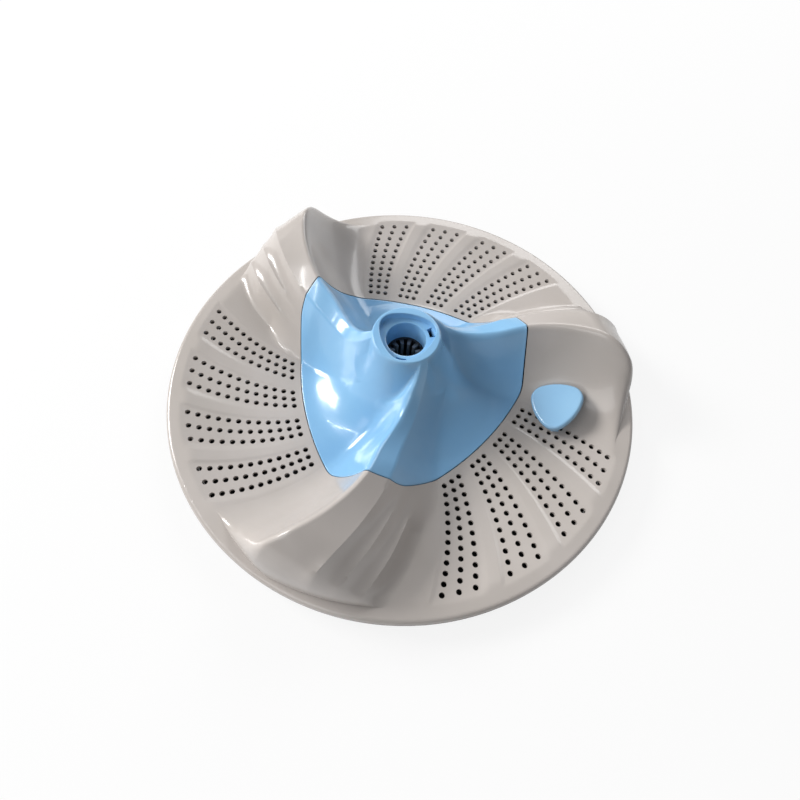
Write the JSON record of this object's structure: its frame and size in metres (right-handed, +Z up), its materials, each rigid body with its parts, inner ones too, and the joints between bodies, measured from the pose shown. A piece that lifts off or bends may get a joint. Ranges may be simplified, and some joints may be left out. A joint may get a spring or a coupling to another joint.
{
  "type": "washing machine agitator",
  "caption": "Low swirl disc of a top-loading washing machine, with fluted vanes, perforated troughs, a blue centre cover and its loose cap",
  "frame": {"origin": "on the axis of the disc, at the height of the surface that the ring rib stands on", "axes": "+Z is up along the axis of the disc, and +X passes through the first vane beside the loose cap"},
  "size_m": [0.37, 0.37, 0.0793],
  "materials": {
    "grey_moulding": "glossy moulded plastic, warm light grey",
    "blue_moulding": "glossy moulded plastic, light blue",
    "cap_moulding": "glossy moulded plastic, light blue",
    "insert_moulding": "dark moulded plastic with worn pale teeth",
    "screw_steel": "plain steel"
  },
  "bodies": {
    "root": {"pulsator_disc": "grey_moulding", "centre_cover": "blue_moulding", "cap": "cap_moulding", "drive_insert": "insert_moulding", "cover_screws": "screw_steel"}
  },
  "joints": []
}
